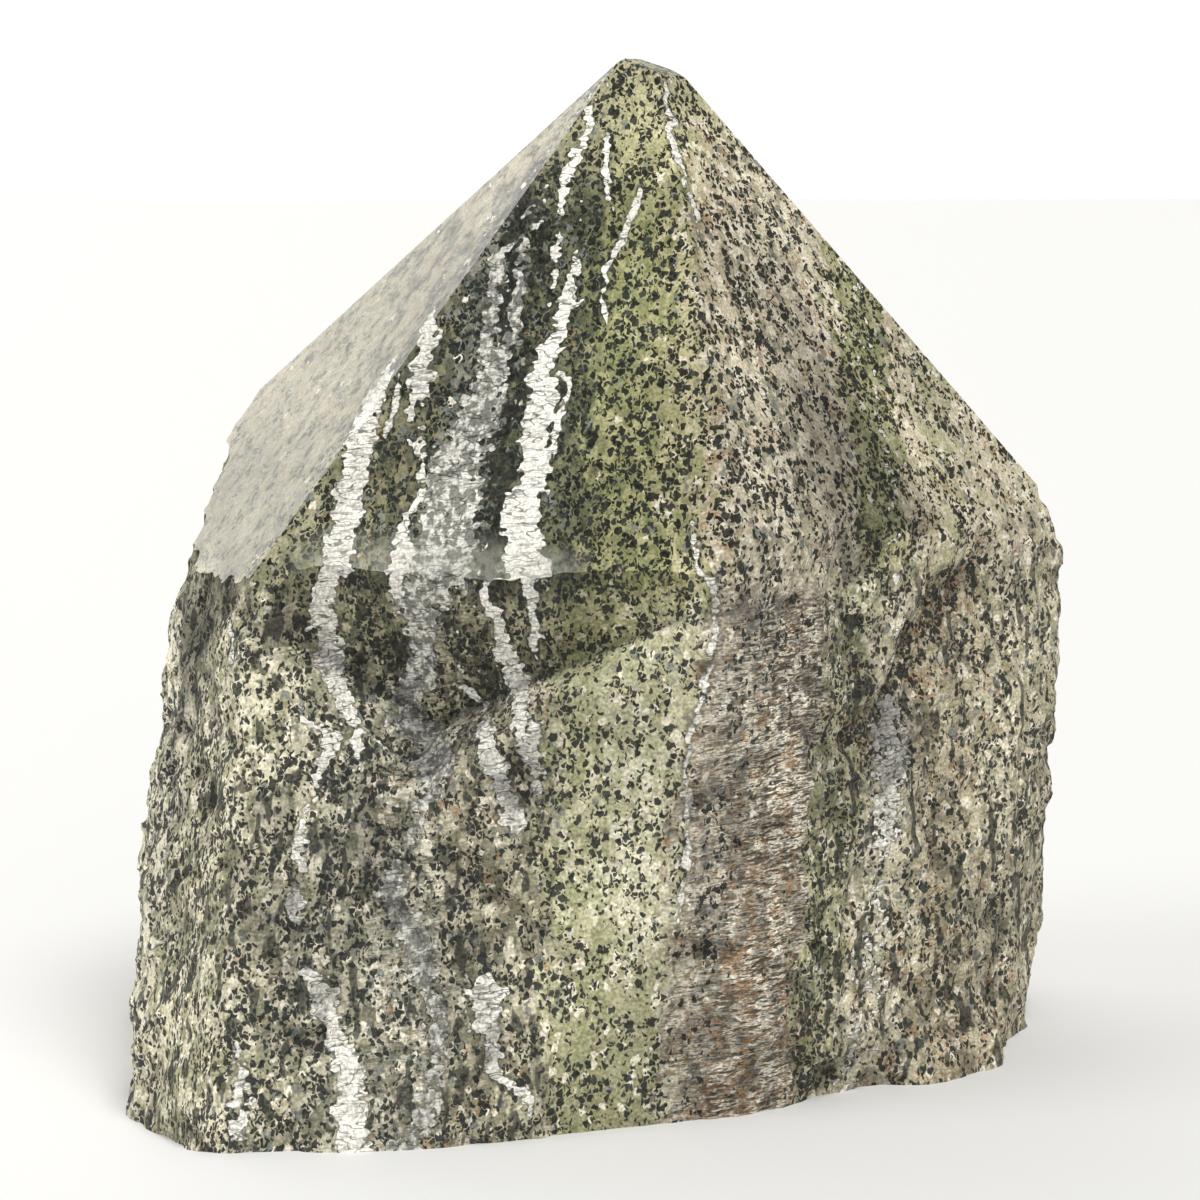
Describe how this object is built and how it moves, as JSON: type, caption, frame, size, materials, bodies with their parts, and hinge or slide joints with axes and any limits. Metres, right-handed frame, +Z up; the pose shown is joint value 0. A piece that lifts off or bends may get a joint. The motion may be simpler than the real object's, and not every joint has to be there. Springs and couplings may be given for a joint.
{
  "type": "polished stone point",
  "caption": "Upright point of banded green stone with rough broken sides, a faceted polished top and a flat sawn base that it stands on.",
  "frame": {"origin": "centre of the bounding box in X and Y, on the plane of the sawn base", "axes": "+Z is up, along the point; -Y is the side seen in front in the picture; +X is to the right seen from the front"},
  "size_m": [0.0954, 0.0782, 0.0999],
  "materials": {
    "stone": "banded green, cream, rust and grey stone, matte on the broken sides and polished on the faces of the point"
  },
  "bodies": {
    "root": {"stone": "stone"}
  },
  "joints": []
}
